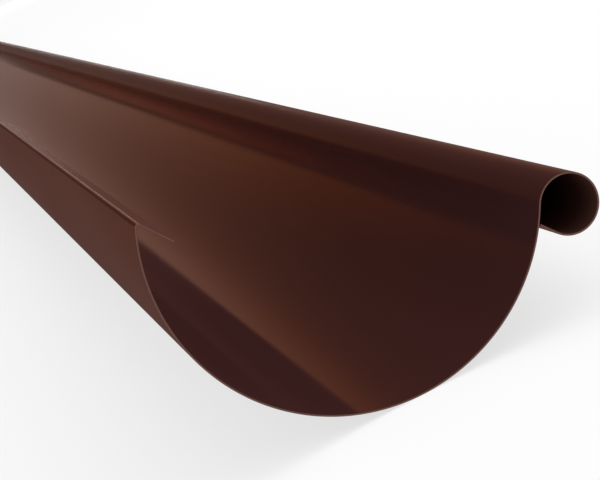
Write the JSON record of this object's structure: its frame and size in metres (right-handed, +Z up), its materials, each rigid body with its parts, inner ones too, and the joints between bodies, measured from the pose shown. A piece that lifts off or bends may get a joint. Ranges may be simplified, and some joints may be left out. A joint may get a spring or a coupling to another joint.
{
  "type": "half-round gutter section",
  "caption": "Half-round steel eaves gutter with a rolled front bead and an inward rear fold, coated dark brown, lying open side up.",
  "frame": {"origin": "on the floor, in the middle of the gutter's bounding box; the trough's axis is 63.1 mm above the floor", "axes": "+Z up, +Y along the gutter, +X towards the front bead"},
  "size_m": [0.1391, 3, 0.0864],
  "materials": {
    "brown_coating": "smooth semi-gloss coil coating, dark chocolate brown, clean"
  },
  "bodies": {
    "root": {"half_round_gutter": "brown_coating"}
  },
  "joints": []
}
